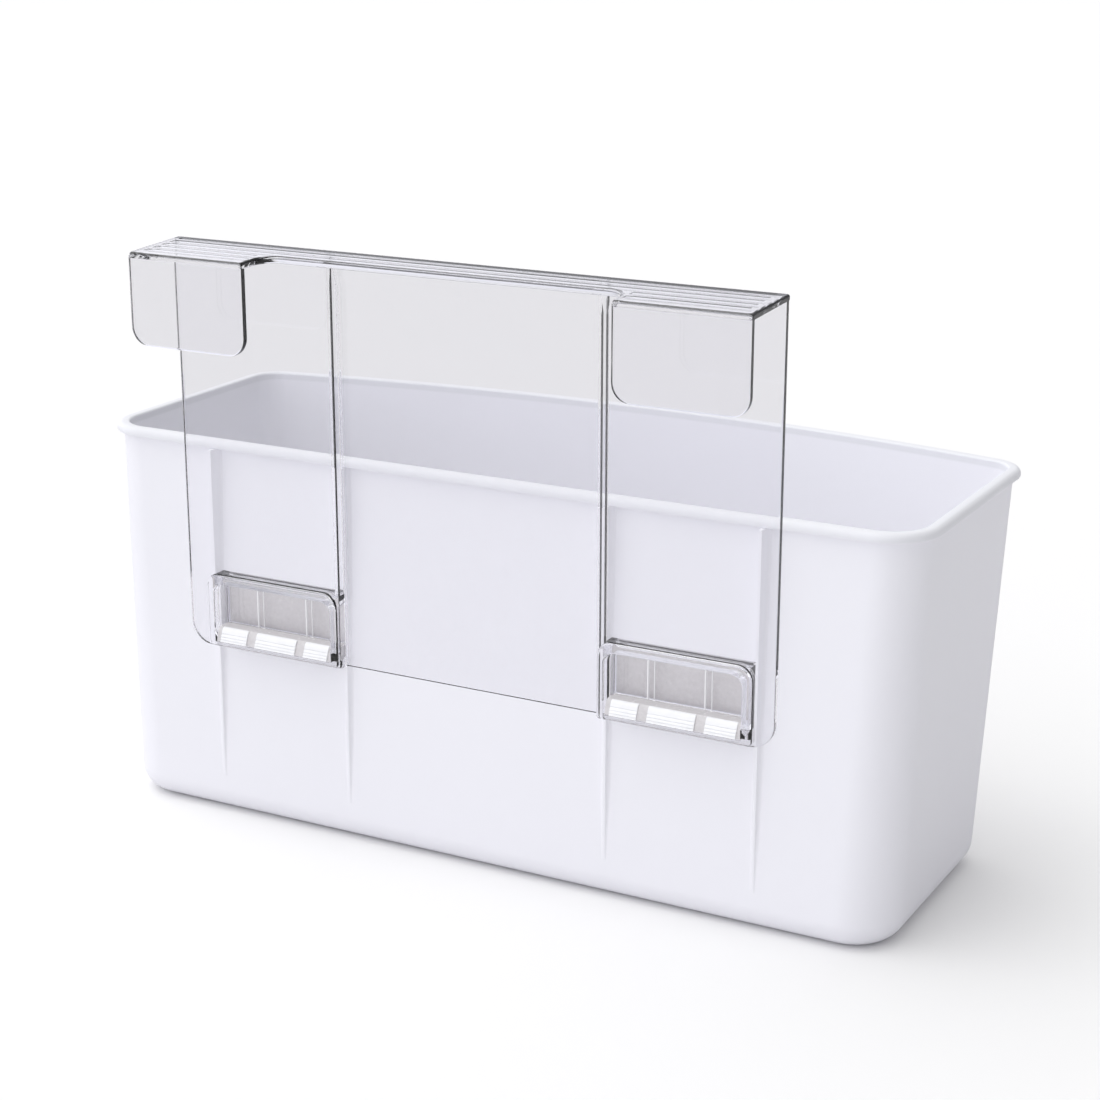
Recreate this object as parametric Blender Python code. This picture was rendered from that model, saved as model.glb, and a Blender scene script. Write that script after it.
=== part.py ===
"""Cleaning caddy that hangs over a cabinet door: a white moulded bin on a clear moulded hanger.

Frame: metres, +Z up, origin at the centre of the bounding box's bottom. The door is on the +Y side.
Depths called "out" are measured from the foot of the bin's back wall: positive towards the door,
negative into the bin.
"""
import math

import bmesh
import bpy

MM = 0.001
FIT_GAP = 0.3 * MM            # clearance between the hanger and the bin
INSET = 0.03 * MM             # joined pieces are stepped by this, so that no two faces lie in one plane
BEYOND = 1.0 * MM             # cutters run this far past the face that they open

# bin
RIM_HEIGHT = 132.0 * MM
HALF_LENGTH_BASE = 142.0 * MM
HALF_LENGTH_RIM = 145.1 * MM
BACK_OUT_RIM = -5.1 * MM      # the back wall leans away from the door going up
FRONT_OUT_BASE = -87.7 * MM   # where the front wall meets the end walls
FRONT_OUT_RIM = -99.4 * MM
FRONT_BOW = 15.6 * MM         # how far the middle of the front wall bulges into the room
BACK_CORNER_BASE = 17.0 * MM
BACK_CORNER_RIM = 14.0 * MM
FRONT_CORNER_BASE = 14.0 * MM
FRONT_CORNER_RIM = 10.7 * MM
BASE_FILLET = 8.8 * MM
WALL = 2.0 * MM
FLOOR = 2.2 * MM
LIP_REACH = 2.3 * MM
LIP_HEIGHT = 2.1 * MM
LIP_ROUND = 0.9 * MM

# ribs on the back wall, and the two slots between them
RIB_OUT = -0.5 * MM
RIB_WIDTH = 1.2 * MM
RIB_INNER_X = 47.6 * MM
RIB_OUTER_X = 98.6 * MM
RIB_FOOT_Z = 9.0 * MM
RIB_HEAD_DROP = 0.8 * MM      # gap from a rib's top to the underside of the lip
RIB_BITE = 1.0 * MM           # how deep a rib is rooted in the wall

# hanger sheet
SHEET = 2.2 * MM
HANGER_HALF_WIDTH = 106.2 * MM
HANGER_BOTTOM = 62.5 * MM
HANGER_TOP = 199.8 * MM
LEG_INNER_X = 46.8 * MM
LEG_OUT = 4.0 * MM            # door-side face of the two legs
STEP = 3.4 * MM               # the middle panel sits this much further from the door
STEP_WALL = 2.1 * MM
LEG_CORNER = 8.0 * MM
TAB_OUT = 28.0 * MM           # outer face of the two hook tabs
TAB_INNER_X = 63.1 * MM
TAB_BOTTOM = 168.8 * MM
TAB_CORNER = 6.1 * MM
BRIDGE_OUT = 16.1 * MM        # front edge of the top plate between the tabs
BRIDGE_CORNER = 6.5 * MM
PLATE_DROP = 1.4 * MM         # fall of the top plate from the panel to the tabs
BLEND_DROP = 11.0 * MM        # height over which the middle panel steps back below the plate

# hook boxes, one at the foot of each leg
FRAME_X = (47.4 * MM, 99.2 * MM)
FRAME_Z = (63.1 * MM, 88.2 * MM)
FRAME_OUT = 5.2 * MM
FRAME_CORNER = 5.0 * MM
FRAME_FOOT_CORNER = 1.0 * MM
TUBE_X = (48.65 * MM, 97.45 * MM)
TUBE_Z = (66.8 * MM, 87.0 * MM)
TUBE_OUT = -7.2 * MM
RECESS_X = (50.0 * MM, 95.8 * MM)
RECESS_TOP = 84.8 * MM
LEDGE_Z = 69.2 * MM
LEDGE_FRONT_Z = 63.5 * MM     # where the sloping foot of the recess meets the frame's front face
LEDGE_OUT = 2.5 * MM
RECESS_OUT = -2.4 * MM
BAR_X = (62.7 * MM, 82.0 * MM)
BAR_WIDTH = 2.6 * MM
BAR_PROUD = 1.2 * MM

GUSSET_OUT = (-1.6 * MM, 3.0 * MM)
GUSSET_FOOT_Z = (66.6 * MM, 63.4 * MM)   # a foot gusset's lower edge, at the bin and at the frame

CORNER_STEPS = 6
BOW_STEPS = 20
SMOOTH_ANGLE = math.radians(35)

# the origin lies midway between the hook tabs' outer face and the rim's furthest point
FRONT_REACH = -FRONT_OUT_RIM + FRONT_BOW + LIP_REACH
BACK_Y = (FRONT_REACH - TAB_OUT) / 2


def clear_scene():
    for obj in list(bpy.data.objects):
        bpy.data.objects.remove(obj, do_unlink=True)


def make_collection(name):
    collection = bpy.data.collections.new(name)
    bpy.context.scene.collection.children.link(collection)
    return collection


def make_material(name, color, roughness, metallic=0.0, transmission=0.0):
    material = bpy.data.materials.new(name)
    material.use_nodes = True
    shader = material.node_tree.nodes["Principled BSDF"]
    shader.inputs["Base Color"].default_value = (*color, 1.0)
    shader.inputs["Roughness"].default_value = roughness
    shader.inputs["Metallic"].default_value = metallic
    shader.inputs["Transmission Weight"].default_value = transmission
    return material


def door_y(out):
    """World Y of a depth measured from the foot of the back wall, positive towards the door."""
    return BACK_Y + out


def lerp(low, high, t):
    return low + (high - low) * t


def arc_points(cx, cy, radius, start, end, steps):
    points = []
    for i in range(steps + 1):
        angle = math.radians(lerp(start, end, i / steps))
        points.append((cx + radius * math.cos(angle), cy + radius * math.sin(angle)))
    return points


def rounded_box(low, high, radii, steps=CORNER_STEPS):
    """Outline of a rectangle, with radii given as (low-left, low-right, high-right, high-left)."""
    corners = ((low[0], low[1], 180), (high[0], low[1], 270), (high[0], high[1], 0), (low[0], high[1], 90))
    points = []
    for (x, y, start), radius in zip(corners, radii):
        if radius == 0:
            points.append((x, y))
            continue
        cx = x + radius if x == low[0] else x - radius
        cy = y + radius if y == low[1] else y - radius
        points += arc_points(cx, cy, radius, start, start + 90, steps)
    return points


def prism(name, outline, axis, low, high, collection):
    """Extrude a flat outline between two positions along one axis.

    The outline's coordinates are (x, y) for Z, (x, z) for Y and (y, z) for X.
    """
    curve = bpy.data.curves.new(name + "_curve", "CURVE")
    curve.dimensions = "2D"
    curve.fill_mode = "BOTH"
    curve.extrude = (high - low) / 2
    spline = curve.splines.new("POLY")
    spline.points.add(len(outline) - 1)
    for point, (u, v) in zip(spline.points, outline):
        point.co = (u, v, 0, 1)
    spline.use_cyclic_u = True
    holder = bpy.data.objects.new(name + "_holder", curve)
    collection.objects.link(holder)
    middle = (low + high) / 2
    if axis == "Z":
        holder.location = (0, 0, middle)
    elif axis == "Y":
        holder.rotation_euler = (math.pi / 2, 0, 0)
        holder.location = (0, middle, 0)
    else:
        holder.rotation_euler = (math.pi / 2, 0, math.pi / 2)
        holder.location = (middle, 0, 0)
    bpy.context.view_layer.update()
    mesh = bpy.data.meshes.new_from_object(holder.evaluated_get(bpy.context.evaluated_depsgraph_get()))
    mesh.transform(holder.matrix_world)
    bm = bmesh.new()
    bm.from_mesh(mesh)
    bmesh.ops.remove_doubles(bm, verts=bm.verts, dist=0.000001)
    bmesh.ops.recalc_face_normals(bm, faces=bm.faces)
    bm.to_mesh(mesh)
    bm.free()
    bpy.data.objects.remove(holder, do_unlink=True)
    obj = bpy.data.objects.new(name, mesh)
    collection.objects.link(obj)
    return obj


def block(name, x_range, y_range, z_range, collection):
    outline = rounded_box((x_range[0], z_range[0]), (x_range[1], z_range[1]), (0, 0, 0, 0))
    return prism(name, outline, "Y", y_range[0], y_range[1], collection)


def mirrored(side, x_range):
    """The X range on the given side of the middle, low end first."""
    return tuple(sorted((side * x_range[0], side * x_range[1])))


def boolean(target, tool, operation):
    tool.hide_render = True
    tool.display_type = "WIRE"
    modifier = target.modifiers.new(operation.title(), "BOOLEAN")
    modifier.operation = operation
    modifier.solver = "EXACT"
    modifier.object = tool


def back_out(z):
    """Depth of the back wall's outer face at a height."""
    return BACK_OUT_RIM * z / RIM_HEIGHT


def bin_plan(z, offset):
    """The bin's outline at a height, moved outwards by an offset: straight back, bowed front."""
    t = z / RIM_HEIGHT
    half = lerp(HALF_LENGTH_BASE, HALF_LENGTH_RIM, t)
    back = door_y(back_out(z))
    front = door_y(lerp(FRONT_OUT_BASE, FRONT_OUT_RIM, t))
    back_corner = lerp(BACK_CORNER_BASE, BACK_CORNER_RIM, t)
    front_corner = lerp(FRONT_CORNER_BASE, FRONT_CORNER_RIM, t)
    bow_radius = (half ** 2 + FRONT_BOW ** 2) / (2 * FRONT_BOW)
    bow_y = front - FRONT_BOW + bow_radius
    corner_x = half - front_corner
    corner_y = bow_y - math.sqrt((bow_radius - front_corner) ** 2 - corner_x ** 2)
    turn = math.degrees(math.atan2(corner_x, bow_y - corner_y))
    back_radius = back_corner + offset
    points = arc_points(half - back_corner, back - back_corner, back_radius, 0, 90, CORNER_STEPS)
    points += arc_points(back_corner - half, back - back_corner, back_radius, 90, 180, CORNER_STEPS)
    points += arc_points(-corner_x, corner_y, front_corner + offset, 180, 270 - turn, CORNER_STEPS)
    bow = arc_points(0, bow_y, bow_radius + offset, 270 - turn, 270 + turn, BOW_STEPS)
    points += bow[1:-1]
    points += arc_points(corner_x, corner_y, front_corner + offset, 270 + turn, 360, CORNER_STEPS)
    return points


def bin_profile():
    """Heights and outward offsets from the middle of the base, over the rim, to the floor inside."""
    rings = []
    for i in range(CORNER_STEPS + 1):
        angle = math.pi / 2 * i / CORNER_STEPS
        rings.append((BASE_FILLET * (1 - math.cos(angle)), -BASE_FILLET * (1 - math.sin(angle))))
    under = RIM_HEIGHT - LIP_HEIGHT
    rings.append((under, 0))
    rings.append((under, LIP_REACH - LIP_ROUND / 2))
    rings.append((under + LIP_ROUND / 2, LIP_REACH))
    for angle in (0, 30, 60, 90):
        rise = LIP_ROUND * math.sin(math.radians(angle))
        inset = LIP_ROUND * (1 - math.cos(math.radians(angle)))
        rings.append((RIM_HEIGHT - LIP_ROUND + rise, LIP_REACH - inset))
    for angle in (90, 45, 0):
        rise = LIP_ROUND * math.sin(math.radians(angle))
        inset = LIP_ROUND * (1 - math.cos(math.radians(angle)))
        rings.append((RIM_HEIGHT - LIP_ROUND + rise, inset - WALL))
    inner = BASE_FILLET - WALL
    for i in range(CORNER_STEPS, -1, -1):
        angle = math.pi / 2 * i / CORNER_STEPS
        rings.append((FLOOR + inner * (1 - math.cos(angle)), -WALL - inner * (1 - math.sin(angle))))
    return rings


def bin_shell(collection, material):
    bm = bmesh.new()
    loops = []
    for z, offset in bin_profile():
        loops.append([bm.verts.new((x, y, z)) for x, y in bin_plan(z, offset)])
    for lower, upper in zip(loops, loops[1:]):
        for i in range(len(lower)):
            j = (i + 1) % len(lower)
            bm.faces.new((lower[i], lower[j], upper[j], upper[i]))
    bm.faces.new(reversed(loops[0]))
    bm.faces.new(loops[-1])
    bmesh.ops.recalc_face_normals(bm, faces=bm.faces)
    mesh = bpy.data.meshes.new("bin")
    bm.to_mesh(mesh)
    bm.free()
    mesh.shade_smooth()
    mesh.set_sharp_from_angle(angle=SMOOTH_ANGLE)
    obj = bpy.data.objects.new("bin", mesh)
    obj.data.materials.append(material)
    collection.objects.link(obj)
    return obj


def back_rib(name, x, collection):
    """One rib with an upright outer edge, rooted in the leaning back wall."""
    top = RIM_HEIGHT - LIP_HEIGHT - RIB_HEAD_DROP
    outline = [
        (door_y(RIB_OUT), RIB_FOOT_Z),
        (door_y(RIB_OUT), top),
        (door_y(back_out(top) - RIB_BITE), top),
        (door_y(back_out(RIB_FOOT_Z) - RIB_BITE), RIB_FOOT_Z),
    ]
    return prism(name, outline, "X", x - RIB_WIDTH / 2, x + RIB_WIDTH / 2, collection)


def make_bin(parts, cutters, material):
    shell = bin_shell(parts, material)
    for x in (-RIB_OUTER_X, -RIB_INNER_X, RIB_INNER_X, RIB_OUTER_X):
        boolean(shell, back_rib("rib", x, cutters), "UNION")
    slot_z = (TUBE_Z[0] - FIT_GAP, TUBE_Z[1] + FIT_GAP)
    slot_x = (TUBE_X[0] - FIT_GAP, TUBE_X[1] + FIT_GAP)
    slot_y = (door_y(TUBE_OUT), door_y(0))
    for side in (-1, 1):
        boolean(shell, block("slot", mirrored(side, slot_x), slot_y, slot_z, cutters), "DIFFERENCE")
    return shell


def top_plate(name, collection, material):
    """The plate that lies on the door's top edge, full depth at the tabs and shallow between them."""
    rear = door_y(LEG_OUT - SHEET)
    front = door_y(TAB_OUT)
    bridge = door_y(BRIDGE_OUT)
    outline = [(HANGER_HALF_WIDTH, rear), (HANGER_HALF_WIDTH, front), (TAB_INNER_X, front)]
    corner_x = TAB_INNER_X - BRIDGE_CORNER
    corner_y = bridge + BRIDGE_CORNER
    outline += arc_points(corner_x, corner_y, BRIDGE_CORNER, 0, -90, CORNER_STEPS)
    outline += [(-x, y) for x, y in reversed(outline)]
    plate = prism(name, outline, "Z", HANGER_TOP - SHEET, HANGER_TOP, collection)
    for vertex in plate.data.vertices:
        vertex.co.z -= PLATE_DROP * (vertex.co.y - rear) / (front - rear)
    plate.data.materials.append(material)
    return plate


def middle_panel(collection):
    """The set-back panel between the legs, which leans forward to meet the plate at its top."""
    front = door_y(LEG_OUT - STEP)
    rear = front - SHEET
    bend = HANGER_TOP - BLEND_DROP
    top = HANGER_TOP - SHEET / 2
    outline = [
        (rear, HANGER_BOTTOM),
        (front, HANGER_BOTTOM),
        (front, bend),
        (door_y(LEG_OUT - INSET), top),
        (door_y(LEG_OUT - SHEET + 2 * INSET), top),
        (rear, bend),
    ]
    half = LEG_INNER_X - FIT_GAP / 2
    return prism("middle_panel", outline, "X", -half, half, collection)


def leg(side, collection):
    low = (LEG_INNER_X, HANGER_BOTTOM)
    high = (HANGER_HALF_WIDTH - INSET, HANGER_TOP - SHEET / 2)
    outline = [(side * x, z) for x, z in rounded_box(low, high, (0, LEG_CORNER, 0, 0))]
    return prism("leg", outline, "Y", door_y(LEG_OUT - SHEET + INSET), door_y(LEG_OUT), collection)


def step_wall(side, collection):
    """The wall that joins a leg to the middle panel, kept clear of the bin's inner ribs."""
    x_range = mirrored(side, (LEG_INNER_X - FIT_GAP, LEG_INNER_X + STEP_WALL))
    y_range = (door_y(RIB_OUT + FIT_GAP), door_y(LEG_OUT - INSET))
    return block("step_wall", x_range, y_range, (HANGER_BOTTOM + INSET, HANGER_TOP - SHEET), collection)


def hook_tab(side, collection):
    low = (TAB_INNER_X + INSET, TAB_BOTTOM)
    high = (HANGER_HALF_WIDTH - INSET, HANGER_TOP - PLATE_DROP - SHEET / 2)
    outline = [(side * x, z) for x, z in rounded_box(low, high, (TAB_CORNER, TAB_CORNER, 0, 0))]
    return prism("hook_tab", outline, "Y", door_y(TAB_OUT - SHEET), door_y(TAB_OUT - INSET), collection)


def hook_frame(side, collection):
    """The thick frame round a hook box, a little proud of its leg."""
    low = (FRAME_X[0], FRAME_Z[0])
    high = (FRAME_X[1], FRAME_Z[1])
    outline = rounded_box(low, high, (FRAME_FOOT_CORNER, FRAME_FOOT_CORNER, FRAME_CORNER, FRAME_CORNER))
    outline = [(side * x, z) for x, z in outline]
    rear = door_y(LEG_OUT - SHEET - FIT_GAP)
    return prism("hook_frame", outline, "Y", rear, door_y(FRAME_OUT), collection)


def recess(side, collection):
    """The pocket in a hook box, with a ledge at its foot that slopes down to the frame's front edge."""
    slope = (FRAME_OUT - LEDGE_OUT) / (LEDGE_Z - LEDGE_FRONT_Z)
    outline = [
        (door_y(RECESS_OUT), LEDGE_Z),
        (door_y(LEDGE_OUT), LEDGE_Z),
        (door_y(FRAME_OUT + BEYOND), LEDGE_FRONT_Z - BEYOND / slope),
        (door_y(FRAME_OUT + BEYOND), RECESS_TOP),
        (door_y(RECESS_OUT), RECESS_TOP),
    ]
    low, high = mirrored(side, RECESS_X)
    return prism("recess", outline, "X", low, high, collection)


def gusset(side, x, collection):
    """A bar that stands up the back of the recess."""
    x_range = mirrored(side, (x - BAR_WIDTH / 2, x + BAR_WIDTH / 2))
    y_range = (door_y(RECESS_OUT - SHEET / 2), door_y(RECESS_OUT + BAR_PROUD))
    return block("bar", x_range, y_range, (LEDGE_Z - SHEET / 2, RECESS_TOP + SHEET / 2), collection)


def foot_gusset(side, x, collection):
    """A small triangle under the ledge, in line with a bar."""
    outline = [
        (door_y(GUSSET_OUT[1]), GUSSET_FOOT_Z[1]),
        (door_y(GUSSET_OUT[1]), TUBE_Z[0] + SHEET / 2),
        (door_y(GUSSET_OUT[0]), TUBE_Z[0] + SHEET / 2),
        (door_y(GUSSET_OUT[0]), GUSSET_FOOT_Z[0]),
    ]
    low, high = mirrored(side, (x - BAR_WIDTH / 2, x + BAR_WIDTH / 2))
    return prism("foot_gusset", outline, "X", low, high, collection)


def make_hanger(parts, cutters, material):
    hanger = top_plate("hanger", parts, material)
    boolean(hanger, middle_panel(cutters), "UNION")
    pocket_y = (door_y(TUBE_OUT - BEYOND), door_y(RECESS_OUT - SHEET))
    pocket_z = (LEDGE_Z, RECESS_TOP)
    tube_y = (door_y(TUBE_OUT), door_y(LEG_OUT - SHEET / 2))
    for side in (-1, 1):
        boolean(hanger, leg(side, cutters), "UNION")
        boolean(hanger, step_wall(side, cutters), "UNION")
        boolean(hanger, hook_tab(side, cutters), "UNION")
        boolean(hanger, hook_frame(side, cutters), "UNION")
        boolean(hanger, block("tube", mirrored(side, TUBE_X), tube_y, TUBE_Z, cutters), "UNION")
        boolean(hanger, recess(side, cutters), "DIFFERENCE")
        pocket = block("back_pocket", mirrored(side, RECESS_X), pocket_y, pocket_z, cutters)
        boolean(hanger, pocket, "DIFFERENCE")
        for x in BAR_X:
            boolean(hanger, gusset(side, x, cutters), "UNION")
            boolean(hanger, foot_gusset(side, x, cutters), "UNION")
    return hanger


def main():
    clear_scene()
    parts = make_collection("over_door_caddy")
    cutters = make_collection("cutters")
    white = make_material("white_plastic", (0.86, 0.86, 0.88), 0.35)
    clear = make_material("clear_plastic", (0.95, 0.96, 0.97), 0.05, transmission=1.0)
    make_bin(parts, cutters, white)
    make_hanger(parts, cutters, clear)


main()
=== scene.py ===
import math

import bmesh
import bpy
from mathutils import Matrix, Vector


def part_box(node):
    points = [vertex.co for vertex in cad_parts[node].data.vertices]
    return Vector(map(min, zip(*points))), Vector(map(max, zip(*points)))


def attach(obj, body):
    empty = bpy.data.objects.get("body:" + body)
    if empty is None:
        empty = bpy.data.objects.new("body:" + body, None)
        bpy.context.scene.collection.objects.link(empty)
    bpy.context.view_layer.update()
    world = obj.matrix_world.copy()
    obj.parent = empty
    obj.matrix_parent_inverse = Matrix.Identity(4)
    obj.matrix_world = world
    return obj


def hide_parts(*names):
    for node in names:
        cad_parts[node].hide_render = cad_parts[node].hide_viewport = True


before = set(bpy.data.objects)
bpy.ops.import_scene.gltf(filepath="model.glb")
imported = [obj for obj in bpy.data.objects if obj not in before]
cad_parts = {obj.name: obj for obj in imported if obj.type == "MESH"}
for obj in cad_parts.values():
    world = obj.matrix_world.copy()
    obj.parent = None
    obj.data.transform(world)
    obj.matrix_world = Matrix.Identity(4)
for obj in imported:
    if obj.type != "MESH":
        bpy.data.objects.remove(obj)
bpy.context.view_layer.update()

_, bin_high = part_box("bin")
hanger_low, hanger_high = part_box("hanger")

MM = 0.001
INSET = 0.02 * MM             # joined solids are stepped by this, so that no two faces lie in one plane
BEYOND = 1.0 * MM             # cutters run this far past the face that they open

# bin, as in the CAD but for a rounder, deeper lip
RIM_HEIGHT = bin_high.z
HALF_LENGTH_BASE = 142.0 * MM
HALF_LENGTH_RIM = 145.1 * MM
BACK_OUT_RIM = -5.1 * MM
FRONT_OUT_BASE = -87.7 * MM
FRONT_OUT_RIM = -99.4 * MM
FRONT_BOW = 15.6 * MM
BACK_CORNER = (17.0 * MM, 14.0 * MM)
FRONT_CORNER = (14.0 * MM, 10.7 * MM)
BASE_FILLET = 8.8 * MM
WALL = 2.0 * MM
FLOOR = 2.2 * MM
LIP_REACH = 2.3 * MM
LIP_HEIGHT = 2.9 * MM
LIP_ROUND = 2.0 * MM
LIP_INNER_ROUND = 0.8 * MM
LIP_FILLET = 0.6 * MM         # hollow under the lip
LIP_EDGE = 0.45 * MM          # rounding of the lip's lower edge
LIP_PAINTED_SHADE_Z = (129.2 * MM, 129.9 * MM)   # the lip's top is painted a shade greyer than the walls: painted shade
FLOOR_CLEAR = 0.02 * MM       # the base stands this far over the floor's plane

RIB_OUT = -0.5 * MM
RIB_WIDTH = 1.2 * MM
RIB_X = (47.6 * MM, 98.6 * MM)
RIB_FLANK = 1.3 * MM          # reach of the hollow fillet at each side of a rib
RIB_FOOT_Z = 13.5 * MM
RIB_HEAD_Z = 129.1 * MM
RIB_BITE = 0.6 * MM
RIB_LEAST = 0.01 * MM         # least height over the wall, at a rib's head
RIB_FLANK_SHARE = 0.92        # how much of a quarter turn each hollow flank makes
RIB_CROWN = (0.15 * MM, 0.35 * MM)

# hanger, as in the CAD but for the grooves, the painted-shade core and painted-reflection facets of the
# hook boxes, and the bars' painted highlight lines
SHEET = 2.2 * MM
HANGER_HALF_WIDTH = hanger_high.x
HANGER_BOTTOM = hanger_low.z
HANGER_TOP = hanger_high.z
LEG_INNER_X = 46.8 * MM
LEG_OUT = 4.0 * MM
STEP = 3.4 * MM
STEP_WALL = 2.1 * MM
LEG_CORNER = 8.0 * MM
LEG_INNER_CORNER = 1.0 * MM
STEP_REAR_OUT = -0.5 * MM
STEP_JOINT = 0.6 * MM
TAB_OUT = 28.0 * MM
TAB_INNER_X = 63.1 * MM
TAB_BOTTOM = 168.8 * MM
TAB_CORNER = 6.1 * MM
BRIDGE_OUT = 16.1 * MM
BRIDGE_CORNER = 6.5 * MM
PLATE_CORNER = 1.2 * MM
PLATE_DROP = 1.4 * MM
BLEND_DROP = 11.0 * MM
EDGE_ROUND = 0.5 * MM
PLATE_ROUND = 0.9 * MM
GROOVE_OUT = (4.6 * MM, 9.1 * MM, 13.6 * MM, 18.1 * MM, 22.6 * MM)
GROOVE_WIDTH = 3.3 * MM
GROOVE_DEPTH = 0.18 * MM
GROOVE_END_X = 103.2 * MM
GROOVE_TAB_GAP = 1.5 * MM
GROOVE_STEPS = 10

FRAME_X = (47.4 * MM, 99.2 * MM)
FRAME_Z = (63.1 * MM, 88.2 * MM)
FRAME_OUT = 5.2 * MM
FRAME_CORNER = 5.0 * MM
FRAME_FOOT_CORNER = 1.2 * MM
FRAME_ROUND = 1.1 * MM
MOUTH_ROUND = 0.6 * MM
TUBE_X = (48.65 * MM, 97.45 * MM)
TUBE_Z = (66.8 * MM, 87.0 * MM)
TUBE_OUT = -7.2 * MM
RECESS_X = (50.0 * MM, 95.8 * MM)
RECESS_Z = (69.2 * MM, 84.8 * MM)
RECESS_OUT = -2.4 * MM
RECESS_CORNER = 3.6 * MM
RECESS_FOOT_CORNER = 0.4 * MM
RECESS_ROUND = 0.25 * MM
FOOT_CUT_LAP = 0.5 * MM
CORE_OUT = -2.2 * MM
BACKING_OUT = (-5.6 * MM, -4.75 * MM)
FOOT_Z = 64.54 * MM           # the clear floor under a hook box's foot ends here
BAR_X = (62.7 * MM, 82.0 * MM)
BAR_WIDTH = 2.6 * MM
BAR_HIGHLIGHT_WIDTH = 0.45 * MM          # a bar's edge highlight is painted as a bright line along one edge
BAR_FAINT = 0.6               # and a narrower one along the other, by this share
BAR_END_GAP = 0.1 * MM
BAR_PROUD = 0.5 * MM
BAR_ROUND = 0.12 * MM
BAR_GAP = 1.75 * MM           # the facets stop this far from a bar's middle and the recess's ends

# fronts of the core and the stepped facets over it, as (out, z) in mm
CORE_FRONT = ((2.20, 69.20), (2.9, 68.6), (3.4, 67.7), (3.85, 66.6), (4.2, 65.5), (4.4, 64.6))
FACETS = (
    (2.50, 69.20), (2.95, 69.00), (3.35, 68.60), (3.68, 68.00), (3.92, 67.35), (3.68, 67.18),
    (4.10, 66.90), (4.30, 66.60), (4.40, 66.30), (4.16, 66.13),
    (4.54, 65.88), (4.67, 65.65), (4.73, 65.40), (4.49, 65.23),
    (4.84, 65.05), (4.94, 64.80), (5.00, 64.60),
)
FIT_GAP = 0.3 * MM

# the door side is +Y; "out" is measured from the foot of the bin's back wall
BACK_Y = hanger_high.y - TAB_OUT


def door_y(out):
    return BACK_Y + out


def lerp(low, high, t):
    return low + (high - low) * t


def arc(cx, cy, radius, start, end, steps):
    points = []
    for i in range(steps + 1):
        angle = math.radians(lerp(start, end, i / steps))
        points.append((cx + radius * math.cos(angle), cy + radius * math.sin(angle)))
    return points


def rounded_box(low, high, radii, steps=8):
    """Anticlockwise outline of a rectangle, radii as (low-left, low-right, high-right, high-left)."""
    corners = (
        (low[0], low[1], 180), (high[0], low[1], 270),
        (high[0], high[1], 0), (low[0], high[1], 90),
    )
    points = []
    for (x, y, start), radius in zip(corners, radii):
        if radius == 0:
            points.append((x, y))
            continue
        cx = x + radius if x == low[0] else x - radius
        cy = y + radius if y == low[1] else y - radius
        points += arc(cx, cy, radius, start, start + 90, steps)
    return points


def anticlockwise(points):
    area = sum(a[0] * b[1] - b[0] * a[1] for a, b in zip(points, points[1:] + points[:1]))
    return list(points) if area > 0 else list(reversed(points))


def shrink(points, distance):
    """An anticlockwise outline moved inwards by a distance."""
    moved = []
    for i, (x, y) in enumerate(points):
        before = Vector(points[i - 1])
        here = Vector((x, y))
        after = Vector(points[(i + 1) % len(points)])
        first = (here - before).normalized()
        second = (after - here).normalized()
        normal_a = Vector((-first.y, first.x))
        normal_b = Vector((-second.y, second.x))
        offset = (normal_a + normal_b) * (distance / (1 + normal_a.dot(normal_b)))
        moved.append((x + offset.x, y + offset.y))
    return moved


def place(u, v, position, axis):
    if axis == "Z":
        return (u, v, position)
    if axis == "Y":
        return (u, position, v)
    return (position, u, v)


def mesh_from_rings(name, rings):
    """Closed mesh over a stack of rings with equal numbers of points."""
    bm = bmesh.new()
    loops = [[bm.verts.new(co) for co in ring] for ring in rings]
    count = len(loops[0])
    for lower, upper in zip(loops, loops[1:]):
        for i in range(count):
            j = (i + 1) % count
            bm.faces.new((lower[i], lower[j], upper[j], upper[i]))
    bm.faces.new(reversed(loops[0]))
    bm.faces.new(loops[-1])
    bmesh.ops.recalc_face_normals(bm, faces=bm.faces)
    mesh = bpy.data.meshes.new(name)
    bm.to_mesh(mesh)
    bm.free()
    obj = bpy.data.objects.new(name, mesh)
    bpy.context.scene.collection.objects.link(obj)
    return obj


def slab(name, outline, axis, low, high, round_low=0.0, round_high=0.0, steps=4):
    """An outline extruded along an axis, with its edges rounded at either end.

    A negative rounding flares the end outwards, for cutters that leave a rounded mouth.
    """
    points = anticlockwise(outline)
    stations = []
    if round_low:
        for i in range(steps):
            angle = math.pi / 2 * i / steps
            travel = abs(round_low) * (1 - math.cos(angle))
            stations.append((low + travel, round_low * (1 - math.sin(angle))))
        stations.append((low + abs(round_low), 0.0))
    else:
        stations.append((low, 0.0))
    if round_high:
        stations.append((high - abs(round_high), 0.0))
        for i in range(steps - 1, -1, -1):
            angle = math.pi / 2 * i / steps
            travel = abs(round_high) * (1 - math.cos(angle))
            stations.append((high - travel, round_high * (1 - math.sin(angle))))
    else:
        stations.append((high, 0.0))
    rings = []
    for position, inset in stations:
        ring = shrink(points, inset) if inset else points
        rings.append([place(u, v, position, axis) for u, v in ring])
    return mesh_from_rings(name, rings)


def block(name, x_range, y_range, z_range, edge=0.0):
    corner = (1.5 * edge,) * 4
    outline = rounded_box((x_range[0], z_range[0]), (x_range[1], z_range[1]), corner, 3)
    return slab(name, outline, "Y", y_range[0], y_range[1], 0.0, edge, 3)


def mirrored(side, x_range):
    return tuple(sorted((side * x_range[0], side * x_range[1])))


def apply_modifiers(obj):
    bpy.context.view_layer.update()
    graph = bpy.context.evaluated_depsgraph_get()
    mesh = bpy.data.meshes.new_from_object(obj.evaluated_get(graph))
    obj.modifiers.clear()
    obj.data = mesh


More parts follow.
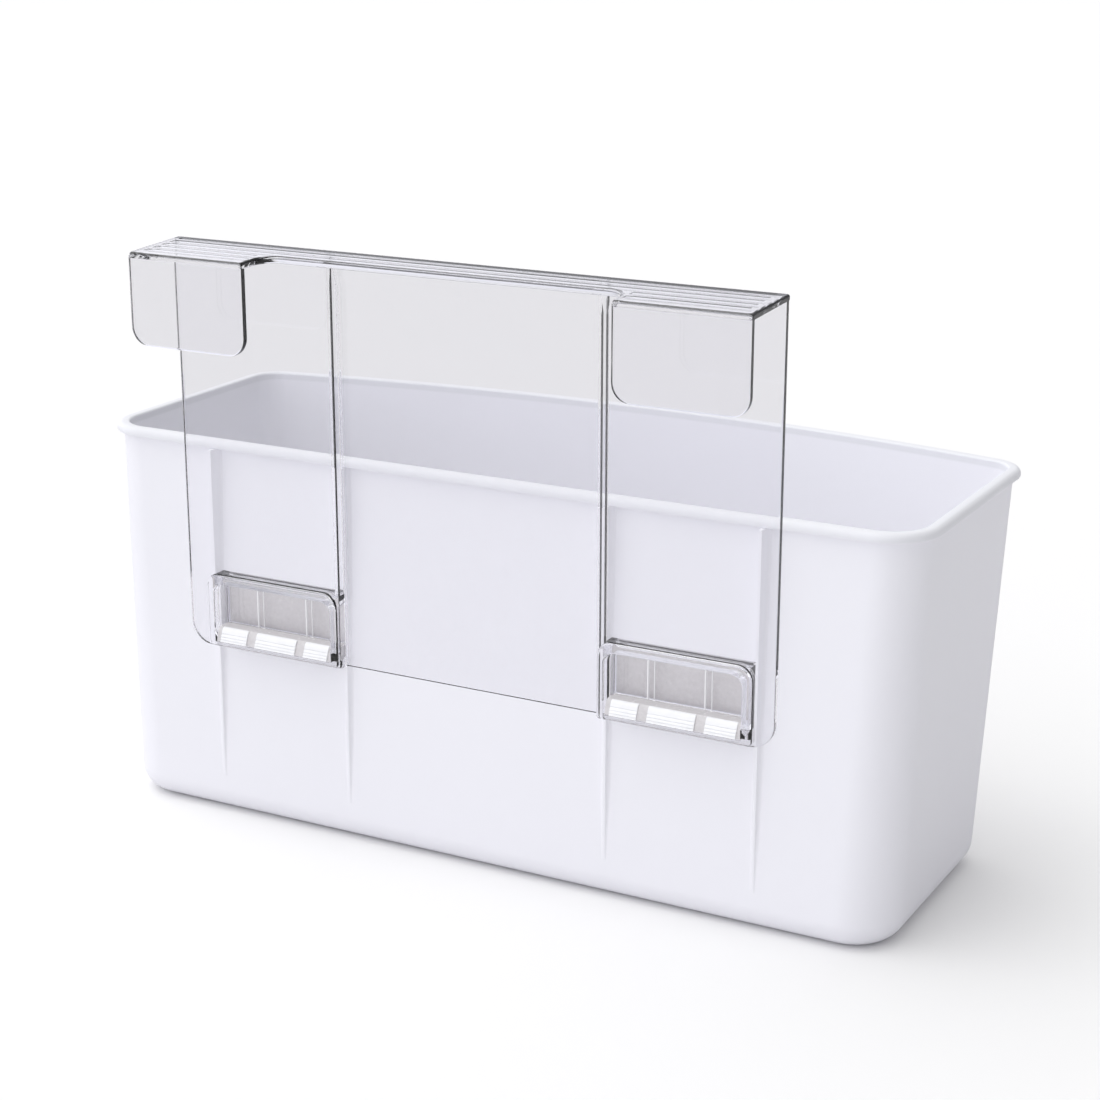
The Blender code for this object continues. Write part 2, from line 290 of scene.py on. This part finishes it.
def combine(target, tool, operation):
    """Boolean of two meshes, applied at once; the tool is used up."""
    modifier = target.modifiers.new(operation, "BOOLEAN")
    modifier.operation = operation
    modifier.solver = "EXACT"
    modifier.object = tool
    apply_modifiers(target)
    bpy.data.objects.remove(tool, do_unlink=True)
    return target


def smooth(obj, degrees):
    """Smooth shading that keeps broad faces flat up to their rounded edges."""
    obj.data.shade_smooth()
    obj.data.set_sharp_from_angle(angle=math.radians(degrees))
    modifier = obj.modifiers.new("weighted", "WEIGHTED_NORMAL")
    modifier.weight = 100
    modifier.keep_sharp = True
    apply_modifiers(obj)


# ---------------------------------------------------------------- bin

CORNER_STEPS = 14
BOW_STEPS = 48
FILLET_STEPS = 10
FLANK_STEPS = 6
WALL_Z = (30, 52, 74, 96, 114, 126)     # rings up the wall, in mm
RIB_Z = (RIB_FOOT_Z, 20 * MM, 35 * MM, 60 * MM, 90 * MM, 115 * MM, RIB_HEAD_Z)
BIN_SHARP = 38                          # degrees: sharper edges stay sharp when shaded
HANGER_SHARP = 32
STAND_IN_SHARP = 30


def back_out(z):
    return BACK_OUT_RIM * z / RIM_HEIGHT


def bin_plan(z, offset):
    t = z / RIM_HEIGHT
    half = lerp(HALF_LENGTH_BASE, HALF_LENGTH_RIM, t)
    back = door_y(back_out(z))
    front = door_y(lerp(FRONT_OUT_BASE, FRONT_OUT_RIM, t))
    back_corner = lerp(*BACK_CORNER, t)
    front_corner = lerp(*FRONT_CORNER, t)
    bow_radius = (half ** 2 + FRONT_BOW ** 2) / (2 * FRONT_BOW)
    bow_y = front - FRONT_BOW + bow_radius
    corner_x = half - front_corner
    corner_y = bow_y - math.sqrt((bow_radius - front_corner) ** 2 - corner_x ** 2)
    turn = math.degrees(math.atan2(corner_x, bow_y - corner_y))
    points = arc(half - back_corner, back - back_corner, back_corner + offset, 0, 90, CORNER_STEPS)
    points += arc(back_corner - half, back - back_corner, back_corner + offset, 90, 180, CORNER_STEPS)
    points += arc(-corner_x, corner_y, front_corner + offset, 180, 270 - turn, CORNER_STEPS)
    points += arc(0, bow_y, bow_radius + offset, 270 - turn, 270 + turn, BOW_STEPS)[1:-1]
    points += arc(corner_x, corner_y, front_corner + offset, 270 + turn, 360, CORNER_STEPS)
    return points


def bin_profile():
    """Heights and outward offsets from the middle of the base, over the lip, to the floor inside."""
    rings = []
    for i in range(FILLET_STEPS + 1):
        angle = math.pi / 2 * i / FILLET_STEPS
        height = BASE_FILLET * (1 - math.cos(angle))
        rings.append((max(height, FLOOR_CLEAR), -BASE_FILLET * (1 - math.sin(angle))))
    for height in WALL_Z:
        rings.append((height * MM, 0))
    under = RIM_HEIGHT - LIP_HEIGHT
    rings.append((under - LIP_FILLET, 0))
    rings.append((under - LIP_FILLET * 0.3, LIP_FILLET * 0.3))
    rings.append((under, LIP_FILLET))
    for angle in (90, 45, 0):
        rise = LIP_EDGE * (1 - math.sin(math.radians(angle)))
        inset = LIP_EDGE * (1 - math.cos(math.radians(angle)))
        rings.append((under + rise, LIP_REACH - inset))
    for angle in (0, 15, 30, 45, 60, 75, 90):
        rise = LIP_ROUND * math.sin(math.radians(angle))
        inset = LIP_ROUND * (1 - math.cos(math.radians(angle)))
        rings.append((RIM_HEIGHT - LIP_ROUND + rise, LIP_REACH - inset))
    for angle in (90, 60, 30, 0):
        rise = LIP_INNER_ROUND * math.sin(math.radians(angle))
        inset = LIP_INNER_ROUND * (1 - math.cos(math.radians(angle)))
        rings.append((RIM_HEIGHT - LIP_INNER_ROUND + rise, inset - WALL))
    for height in reversed(WALL_Z[:-1]):
        rings.append((height * MM, -WALL))
    inner = BASE_FILLET - WALL
    for i in range(FILLET_STEPS, -1, -1):
        angle = math.pi / 2 * i / FILLET_STEPS
        rings.append((FLOOR + inner * (1 - math.cos(angle)), -WALL - inner * (1 - math.sin(angle))))
    return rings


def rib(x):
    """A rib whose outer edge is upright and whose flanks run into the leaning wall in hollow fillets."""
    rings = []
    for z in RIB_Z:
        wall = back_out(z)
        height = max(RIB_OUT - wall, RIB_LEAST)
        reach = min(RIB_FLANK, 1.2 * height + 0.3 * MM)
        half = RIB_WIDTH / 2
        side = []
        for i in range(FLANK_STEPS + 1):
            t = i / FLANK_STEPS
            rise = 1 - math.sqrt(max(0.0, 1 - t * t * RIB_FLANK_SHARE))
            side.append((half + reach * (1 - t), wall + height * rise))
        side.append((half - RIB_CROWN[0], wall + height - INSET))
        side.append((half - RIB_CROWN[1], wall + height))
        points = [(x + half + reach, wall - RIB_BITE)]
        points += [(x + u, v) for u, v in side]
        points += [(x - u, v) for u, v in reversed(side)]
        points.append((x - half - reach, wall - RIB_BITE))
        rings.append([(u, door_y(v), z) for u, v in points])
    return mesh_from_rings("rib", rings)


def make_bin():
    rings = [[(x, y, z) for x, y in bin_plan(z, offset)] for z, offset in bin_profile()]
    body = mesh_from_rings("bin_body", rings)
    for x in RIB_X:
        for side in (-1, 1):
            combine(body, rib(side * x), "UNION")
    slot_x = (TUBE_X[0] - FIT_GAP, TUBE_X[1] + FIT_GAP)
    slot_y = (door_y(TUBE_OUT), door_y(0))
    slot_z = (TUBE_Z[0] - FIT_GAP, TUBE_Z[1] + FIT_GAP)
    for side in (-1, 1):
        combine(body, block("slot", mirrored(side, slot_x), slot_y, slot_z), "DIFFERENCE")
    smooth(body, BIN_SHARP)
    return body


# ---------------------------------------------------------------- hanger

def drop(obj):
    """Tilts the plate down towards the tabs."""
    rear = door_y(LEG_OUT - SHEET)
    for vertex in obj.data.vertices:
        vertex.co.z -= PLATE_DROP * (vertex.co.y - rear) / (door_y(TAB_OUT) - rear)
    return obj


def top_plate():
    rear = door_y(LEG_OUT - SHEET)
    front = door_y(TAB_OUT)
    bridge = door_y(BRIDGE_OUT)
    corner_y = front - PLATE_CORNER
    outline = [(HANGER_HALF_WIDTH, rear)]
    outline += arc(HANGER_HALF_WIDTH - PLATE_CORNER, corner_y, PLATE_CORNER, 0, 90, 5)
    outline += arc(TAB_INNER_X + PLATE_CORNER, corner_y, PLATE_CORNER, 90, 180, 5)
    outline += arc(TAB_INNER_X - BRIDGE_CORNER, bridge + BRIDGE_CORNER, BRIDGE_CORNER, 0, -90, 10)
    outline += [(-x, y) for x, y in reversed(outline)]
    z_range = (HANGER_TOP - SHEET, HANGER_TOP)
    return drop(slab("hanger_sheet", outline, "Z", *z_range, EDGE_ROUND, PLATE_ROUND))


def groove(out, x_range):
    """A shallow round-bottomed groove along the plate's top."""
    above = HANGER_TOP + BEYOND
    outline = [(door_y(out) + GROOVE_WIDTH / 2, above), (door_y(out) - GROOVE_WIDTH / 2, above)]
    for i in range(GROOVE_STEPS + 1):
        t = i / GROOVE_STEPS
        depth = GROOVE_DEPTH * math.sin(math.pi * t) - INSET
        outline.append((door_y(out) + GROOVE_WIDTH * (t - 0.5), HANGER_TOP - depth))
    return drop(slab("groove", outline, "X", x_range[0], x_range[1]))


def middle_panel():
    front = LEG_OUT - STEP
    bend = HANGER_TOP - BLEND_DROP
    top = HANGER_TOP - SHEET / 2
    foot = EDGE_ROUND
    outline = arc(front - foot, HANGER_BOTTOM + foot, foot, -90, 0, 4)
    outline += [(front, bend), (LEG_OUT - INSET, top)]
    outline += [(LEG_OUT - SHEET + 2 * INSET, top), (front - SHEET, bend)]
    outline += arc(front - SHEET + foot, HANGER_BOTTOM + foot, foot, 180, 270, 4)
    outline = [(door_y(out), z) for out, z in outline]
    half = LEG_INNER_X - FIT_GAP / 2
    return slab("middle_panel", outline, "X", -half, half)


def leg(side):
    low = (LEG_INNER_X, HANGER_BOTTOM)
    high = (HANGER_HALF_WIDTH - INSET, HANGER_TOP - SHEET / 2)
    outline = [(side * x, z) for x, z in rounded_box(low, high, (LEG_INNER_CORNER, LEG_CORNER, 0, 0))]
    y_range = (door_y(LEG_OUT - SHEET + INSET), door_y(LEG_OUT))
    return slab("leg", outline, "Y", *y_range, EDGE_ROUND, EDGE_ROUND)


def step_wall(side):
    """Joins a leg's inner edge to the set-back middle panel."""
    x_range = mirrored(side, (LEG_INNER_X + INSET, LEG_INNER_X + STEP_WALL))
    y_range = (door_y(STEP_REAR_OUT + FIT_GAP), door_y(LEG_OUT - SHEET / 2))
    return block("step_wall", x_range, y_range, (HANGER_BOTTOM + INSET, HANGER_TOP - SHEET * 0.6))


def step_joint(side):
    """Closes the corner between the middle panel and a step wall."""
    x_range = mirrored(side, (LEG_INNER_X - 2 * FIT_GAP, LEG_INNER_X + STEP_JOINT))
    y_range = (door_y(STEP_REAR_OUT + FIT_GAP + INSET), door_y(LEG_OUT - STEP - INSET))
    return block("step_joint", x_range, y_range, (HANGER_BOTTOM + 2 * INSET, HANGER_TOP - BLEND_DROP))


def hook_tab(side):
    low = (TAB_INNER_X + INSET, TAB_BOTTOM)
    high = (HANGER_HALF_WIDTH - INSET, HANGER_TOP - PLATE_DROP - SHEET / 2)
    outline = [(side * x, z) for x, z in rounded_box(low, high, (TAB_CORNER, TAB_CORNER, 0, 0))]
    y_range = (door_y(TAB_OUT - SHEET), door_y(TAB_OUT - INSET))
    return slab("hook_tab", outline, "Y", *y_range, EDGE_ROUND, EDGE_ROUND)


def hook_frame(side):
    radii = (FRAME_FOOT_CORNER, FRAME_FOOT_CORNER, FRAME_CORNER, FRAME_CORNER)
    outline = rounded_box((FRAME_X[0], FRAME_Z[0]), (FRAME_X[1], FRAME_Z[1]), radii)
    outline = [(side * x, z) for x, z in outline]
    y_range = (door_y(LEG_OUT - SHEET - FIT_GAP), door_y(FRAME_OUT))
    return slab("hook_frame", outline, "Y", *y_range, 0.0, FRAME_ROUND)


def recess(side):
    """Cutter for the hollow in a hook box, flared at its mouth."""
    radii = (RECESS_FOOT_CORNER, RECESS_FOOT_CORNER, RECESS_CORNER, RECESS_CORNER)
    outline = rounded_box((RECESS_X[0], RECESS_Z[0]), (RECESS_X[1], RECESS_Z[1]), radii)
    outline = [(side * x, z) for x, z in outline]
    y_range = (door_y(RECESS_OUT), door_y(FRAME_OUT + INSET))
    return slab("recess", outline, "Y", *y_range, RECESS_ROUND, -MOUTH_ROUND)


def foot_cut(side):
    """Cutter that clears a hook box's foot, down to its clear floor, for the core and facets."""
    y_range = (door_y(CORE_OUT), door_y(FRAME_OUT + BEYOND))
    return block("foot_cut", mirrored(side, RECESS_X), y_range, (FOOT_Z, RECESS_Z[0] + FOOT_CUT_LAP))


def profile_slab(name, points, x_range):
    return slab(name, [(door_y(out * MM), z * MM) for out, z in points], "X", x_range[0], x_range[1])


def foot_core(side):
    """Opaque grey at a hook box's foot, painted shade for the thick clear plastic's dark refractions,
    its front a little behind the facets.
    """
    back = CORE_OUT / MM + 0.02
    points = ((back, 69.20), *CORE_FRONT, (back, 64.6))
    return profile_slab("hook_core", points, mirrored(side, (RECESS_X[0] + INSET, RECESS_X[1] - INSET)))


def foot_facets(x_range):
    """Opaque painted reflection for the bright stepped bands at the foot, where the clear facets turn
    the light from overhead back, between two bars.
    """
    back = [(out + 0.03, z) for out, z in reversed(CORE_FRONT)]
    return profile_slab("hook_steps", (*FACETS, *back), x_range)


def foot_fill(side):
    """Solid under the ledge, from the frame to the bin's wall."""
    outline = [
        (LEG_OUT - 1.0 * MM, FRAME_Z[0] + 0.3 * MM),
        (LEG_OUT - 1.0 * MM, TUBE_Z[0] + SHEET / 2),
        (-1.9 * MM, TUBE_Z[0] + SHEET / 2),
        (-1.9 * MM, TUBE_Z[0] - 0.2 * MM),
    ]
    outline = [(door_y(out), z) for out, z in outline]
    low, high = mirrored(side, (TUBE_X[0] + 0.4 * MM, TUBE_X[1] - 0.4 * MM))
    return slab("foot_fill", outline, "X", low, high)


def make_hanger():
    sheet = top_plate()
    tab_groove = (TAB_INNER_X + GROOVE_TAB_GAP, GROOVE_END_X)
    for out in GROOVE_OUT:
        if out < BRIDGE_OUT:
            combine(sheet, groove(out, (-GROOVE_END_X, GROOVE_END_X)), "DIFFERENCE")
        else:
            for side in (-1, 1):
                combine(sheet, groove(out, mirrored(side, tab_groove)), "DIFFERENCE")
    combine(sheet, middle_panel(), "UNION")
    tube_y = (door_y(TUBE_OUT), door_y(LEG_OUT - SHEET / 2))
    pocket_y = (door_y(TUBE_OUT - BEYOND), door_y(RECESS_OUT - SHEET))
    for side in (-1, 1):
        combine(sheet, leg(side), "UNION")
        combine(sheet, step_wall(side), "UNION")
        combine(sheet, step_joint(side), "UNION")
        combine(sheet, hook_tab(side), "UNION")
        combine(sheet, hook_frame(side), "UNION")
        combine(sheet, block("tube", mirrored(side, TUBE_X), tube_y, TUBE_Z), "UNION")
        combine(sheet, foot_fill(side), "UNION")
        combine(sheet, recess(side), "DIFFERENCE")
        combine(sheet, foot_cut(side), "DIFFERENCE")
        combine(sheet, block("pocket", mirrored(side, RECESS_X), pocket_y, RECESS_Z), "DIFFERENCE")
    smooth(sheet, HANGER_SHARP)
    return sheet


def backing(side):
    """Opaque stand-in for the grey face that shows through the back of a recess."""
    inner = (RECESS_X[0] + INSET, RECESS_X[1] - INSET)
    y_range = (door_y(BACKING_OUT[0]), door_y(BACKING_OUT[1]))
    return block("backing", mirrored(side, inner), y_range, (RECESS_Z[0] + INSET, RECESS_Z[1] - INSET))


# painted highlight: a bright line along one edge of a bar
def bar_painted_highlight(x, edge, width, rear, proud):
    middle = x + edge * (BAR_WIDTH - BAR_HIGHLIGHT_WIDTH) / 2
    x_range = (middle - width / 2, middle + width / 2)
    z_range = (RECESS_Z[0] + BAR_END_GAP, RECESS_Z[1] - BAR_END_GAP)
    return block("bar_painted_highlight", x_range, (door_y(rear), door_y(rear + proud)), z_range, BAR_ROUND)


def make_cores():
    core = foot_core(1)
    for other in (foot_core(-1), backing(1), backing(-1)):
        combine(core, other, "UNION")
    smooth(core, STAND_IN_SHARP)
    return core


def make_steps():
    stops = (RECESS_X[0], *BAR_X, RECESS_X[1])
    spans = [(low + BAR_GAP, high - BAR_GAP) for low, high in zip(stops, stops[1:])]
    runs = [mirrored(side, span) for side in (-1, 1) for span in spans]
    rear = RECESS_OUT + INSET
    steps = foot_facets(runs[0])
    for run in runs[1:]:
        combine(steps, foot_facets(run), "UNION")
    # painted highlights along both edges of each bar
    for x in (*BAR_X, -BAR_X[0], -BAR_X[1]):
        combine(steps, bar_painted_highlight(x, 1, BAR_HIGHLIGHT_WIDTH, rear, BAR_PROUD), "UNION")
        combine(steps, bar_painted_highlight(x, -1, BAR_HIGHLIGHT_WIDTH * BAR_FAINT, rear, BAR_PROUD * BAR_FAINT), "UNION")
    smooth(steps, STAND_IN_SHARP)
    return steps


# ---------------------------------------------------------------- materials

WHITE = ((0.915, 0.913, 0.950), (0.925, 0.923, 0.960))
LIP_PAINTED_SHADE = (0.83, 0.835, 0.865, 1)
CLEAR_TINT = (0.95, 0.947, 0.965, 1)
# grey of the hook cores: painted shade at each foot, and the grey face behind each recess
CORE_GREY = ((0.635, 0.615, 0.62), (0.70, 0.68, 0.685))
# painted reflection: the white of the facets at the hook boxes' feet
FACET_PAINTED_REFLECTION = ((0.93, 0.935, 0.945), (0.97, 0.972, 0.98))
FLOOR_SEEN = ((0.955, 0.952, 0.944), (0.959, 0.956, 0.948))
FLOOR_REFLECTED = (0.780, 0.775, 0.780, 1)
POLYPROPYLENE_IOR = 1.49
STYRENE_IOR = 1.55


def nodes_of(name):
    material = bpy.data.materials.new(name)
    material.use_nodes = True
    tree = material.node_tree
    return material, tree, tree.nodes["Principled BSDF"]


def noise(tree, scale, detail):
    coordinates = tree.nodes.new("ShaderNodeTexCoord")
    node = tree.nodes.new("ShaderNodeTexNoise")
    node.inputs["Scale"].default_value = scale
    node.inputs["Detail"].default_value = detail
    tree.links.new(coordinates.outputs["Object"], node.inputs["Vector"])
    return node.outputs["Fac"]


def ramp(tree, source, low, high):
    node = tree.nodes.new("ShaderNodeValToRGB")
    node.color_ramp.elements[0].position = 0.3
    node.color_ramp.elements[1].position = 0.7
    node.color_ramp.elements[0].color = (*low, 1)
    node.color_ramp.elements[1].color = (*high, 1)
    tree.links.new(source, node.inputs["Fac"])
    return node.outputs["Color"]


def remap(tree, source, low, high):
    node = tree.nodes.new("ShaderNodeMapRange")
    node.inputs["To Min"].default_value = low
    node.inputs["To Max"].default_value = high
    tree.links.new(source, node.inputs["Value"])
    return node.outputs["Result"]


def bump(tree, source, distance, strength, before=None):
    node = tree.nodes.new("ShaderNodeBump")
    node.inputs["Distance"].default_value = distance
    node.inputs["Strength"].default_value = strength
    tree.links.new(source, node.inputs["Height"])
    if before is not None:
        tree.links.new(before, node.inputs["Normal"])
    return node.outputs["Normal"]


def white_plastic():
    """Satin moulded polypropylene: a fine spark-eroded grain, faint flow variation, and painted shade
    that greys the lip's top.
    """
    material, tree, shader = nodes_of("white_plastic")
    flow = noise(tree, 9.0, 3.0)
    grain = noise(tree, 2600.0, 2.0)
    sink = noise(tree, 22.0, 1.0)
    coordinates = tree.nodes.new("ShaderNodeTexCoord")
    position = tree.nodes.new("ShaderNodeSeparateXYZ")
    tree.links.new(coordinates.outputs["Object"], position.inputs["Vector"])
    # painted shade: the colour turns to the lip's greyer tone towards the lip's top
    lip_shade_mask = tree.nodes.new("ShaderNodeMapRange")
    lip_shade_mask.inputs["From Min"].default_value = LIP_PAINTED_SHADE_Z[0]
    lip_shade_mask.inputs["From Max"].default_value = LIP_PAINTED_SHADE_Z[1]
    tree.links.new(position.outputs["Z"], lip_shade_mask.inputs["Value"])
    tone = tree.nodes.new("ShaderNodeMix")
    tone.data_type = "RGBA"
    tree.links.new(lip_shade_mask.outputs["Result"], tone.inputs[0])
    tree.links.new(ramp(tree, flow, *WHITE), tone.inputs[6])
    tone.inputs[7].default_value = LIP_PAINTED_SHADE
    tree.links.new(tone.outputs[2], shader.inputs["Base Color"])
    tree.links.new(remap(tree, grain, 0.36, 0.50), shader.inputs["Roughness"])
    coarse = bump(tree, sink, 0.0003, 0.25)
    tree.links.new(bump(tree, grain, 0.00002, 0.5, coarse), shader.inputs["Normal"])
    shader.inputs["IOR"].default_value = POLYPROPYLENE_IOR
    return material


def clear_plastic():
    """Polished clear styrene with very faint flow waves.

    Shadow and diffuse rays go straight through it, so it casts no shadow.
    """
    material, tree, shader = nodes_of("clear_plastic")
    wave = noise(tree, 24.0, 1.0)
    shader.inputs["Base Color"].default_value = CLEAR_TINT
    shader.inputs["Transmission Weight"].default_value = 1.0
    shader.inputs["IOR"].default_value = STYRENE_IOR
    tree.links.new(remap(tree, noise(tree, 300.0, 2.0), 0.0, 0.02), shader.inputs["Roughness"])
    tree.links.new(bump(tree, wave, 0.0001, 0.02), shader.inputs["Normal"])
    path = tree.nodes.new("ShaderNodeLightPath")
    either = tree.nodes.new("ShaderNodeMath")
    either.operation = "MAXIMUM"
    tree.links.new(path.outputs["Is Shadow Ray"], either.inputs[0])
    tree.links.new(path.outputs["Is Diffuse Ray"], either.inputs[1])
    through = tree.nodes.new("ShaderNodeBsdfTransparent")
    through.inputs["Color"].default_value = (1.0, 1.0, 1.0, 1)
    mix = tree.nodes.new("ShaderNodeMixShader")
    tree.links.new(either.outputs["Value"], mix.inputs["Fac"])
    tree.links.new(shader.outputs["BSDF"], mix.inputs[1])
    tree.links.new(through.outputs["BSDF"], mix.inputs[2])
    tree.links.new(mix.outputs["Shader"], tree.nodes["Material Output"].inputs["Surface"])
    return material


def shaded_plastic():
    """Opaque warm grey, faintly cloudy, for what is seen through the hook boxes: painted shade at their
    feet, and the grey face behind each recess.
    """
    material, tree, shader = nodes_of("shaded_plastic")
    cloud = noise(tree, 700.0, 3.0)
    tree.links.new(ramp(tree, cloud, *CORE_GREY), shader.inputs["Base Color"])
    tree.links.new(remap(tree, noise(tree, 900.0, 2.0), 0.18, 0.32), shader.inputs["Roughness"])
    tree.links.new(bump(tree, cloud, 0.0001, 0.25), shader.inputs["Normal"])
    shader.inputs["IOR"].default_value = STYRENE_IOR
    return material


def facets_painted_reflection():
    """Opaque near white, glossy: a painted reflection of the light from overhead that the clear facets
    turn back.
    """
    material, tree, shader = nodes_of("facets_painted_reflection")
    streak = noise(tree, 260.0, 2.0)
    tree.links.new(ramp(tree, streak, *FACET_PAINTED_REFLECTION), shader.inputs["Base Color"])
    tree.links.new(remap(tree, noise(tree, 900.0, 2.0), 0.10, 0.18), shader.inputs["Roughness"])
    tree.links.new(bump(tree, streak, 0.00005, 0.1), shader.inputs["Normal"])
    shader.inputs["IOR"].default_value = STYRENE_IOR
    return material


def floor_white():
    """Pale floor, a darker shade to reflections and through the clear sheet than to the camera."""
    material, tree, shader = nodes_of("floor_white")
    tone = noise(tree, 1.5, 2.0)
    shade = tree.nodes.new("ShaderNodeMix")
    shade.data_type = "RGBA"
    path = tree.nodes.new("ShaderNodeLightPath")
    tree.links.new(path.outputs["Is Camera Ray"], shade.inputs[0])
    tree.links.new(ramp(tree, tone, *FLOOR_SEEN), shade.inputs[7])
    shade.inputs[6].default_value = FLOOR_REFLECTED
    tree.links.new(shade.outputs[2], shader.inputs["Base Color"])
    shader.inputs["Roughness"].default_value = 1.0
    shader.inputs["Specular IOR Level"].default_value = 0.0
    return material


# ---------------------------------------------------------------- pieces

def only_material(obj, material):
    obj.data.materials.clear()
    obj.data.materials.append(material)


bin_body = make_bin()
only_material(bin_body, white_plastic())
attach(bin_body, "bin")
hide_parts("bin")

hanger_sheet = make_hanger()
only_material(hanger_sheet, clear_plastic())
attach(hanger_sheet, "hanger")
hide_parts("hanger")

# hook_core: painted shade at each hook box's foot, and the grey faces behind the recesses
hook_core = make_cores()
hook_core.name = "hook_core"
only_material(hook_core, shaded_plastic())
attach(hook_core, "hanger")

# hook_steps: painted reflections on the foot facets and painted highlights along the bars
hook_steps = make_steps()
hook_steps.name = "hook_steps"
only_material(hook_steps, facets_painted_reflection())
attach(hook_steps, "hanger")

# ---------------------------------------------------------------- studio

FLOOR_RADIUS = 40.0
FLOOR_STEPS = 48
SKY_HORIZON = 0.84
SKY_RISE = 0.15
SKY_TILT = (0.68, 0.22, 0)
SKY_TONE = ((0.92, 0.925, 1.0), (1.0, 1.0, 1.0))
SOFTBOX_DIRECTION = tuple(Vector((0.26, 0.15, 0.95)).normalized())
SOFTBOX_FOCUS = 24.0
SOFTBOX_STRENGTH = 1.8
LENS = 76.82
CAMERA_PLACE = (-0.35614, 0.65147, 0.32149)
CAMERA_LOOK = (0.45454, -0.84239, -0.28943)


def studio_floor():
    bm = bmesh.new()
    rim = arc(0, 0, 1, 0, 360, FLOOR_STEPS)[:-1]
    bm.faces.new([bm.verts.new((FLOOR_RADIUS * x, FLOOR_RADIUS * y, 0)) for x, y in rim])
    mesh = bpy.data.meshes.new("studio_floor")
    bm.to_mesh(mesh)
    bm.free()
    obj = bpy.data.objects.new("studio_floor", mesh)
    bpy.context.scene.collection.objects.link(obj)
    return obj


floor = studio_floor()
only_material(floor, floor_white())


def studio_world():
    """Soft light: a dim horizon, a bright ceiling, brighter towards +X, and one soft overhead box."""
    world = bpy.data.worlds.new("studio")
    bpy.context.scene.world = world
    world.use_nodes = True
    tree = world.node_tree
    background = tree.nodes["Background"]
    coordinates = tree.nodes.new("ShaderNodeTexCoord")

    def dot(direction):
        node = tree.nodes.new("ShaderNodeVectorMath")
        node.operation = "DOT_PRODUCT"
        node.inputs[1].default_value = direction
        tree.links.new(coordinates.outputs["Generated"], node.inputs[0])
        return node.outputs["Value"]

    def math_node(operation, first, second):
        node = tree.nodes.new("ShaderNodeMath")
        node.operation = operation
        for socket, value in zip(node.inputs, (first, second)):
            if isinstance(value, (int, float)):
                socket.default_value = value
            else:
                tree.links.new(value, socket)
        return node.outputs["Value"]

    height = math_node("MAXIMUM", dot((0, 0, 1)), 0.0)
    sky = math_node("ADD", math_node("MULTIPLY", height, SKY_RISE), SKY_HORIZON)
    tilt = math_node("ADD", dot(SKY_TILT), 1.0)
    facing = math_node("MAXIMUM", dot(SOFTBOX_DIRECTION), 0.0)
    softbox = math_node("MULTIPLY", math_node("POWER", facing, SOFTBOX_FOCUS), SOFTBOX_STRENGTH)
    total = math_node("ADD", math_node("MULTIPLY", sky, tilt), softbox)
    tree.links.new(ramp(tree, height, *SKY_TONE), background.inputs["Color"])
    tree.links.new(total, background.inputs["Strength"])


studio_world()

camera_data = bpy.data.cameras.new("camera")
camera_data.sensor_width = 36.0
camera_data.lens = LENS
camera_data.clip_start = 0.01
camera_data.clip_end = 200.0
camera = bpy.data.objects.new("camera", camera_data)
bpy.context.scene.collection.objects.link(camera)
camera.location = CAMERA_PLACE
camera.rotation_mode = "QUATERNION"
camera.rotation_quaternion = Vector(CAMERA_LOOK).to_track_quat("-Z", "Y")
bpy.context.scene.camera = camera
bpy.context.scene.view_settings.view_transform = "Standard"
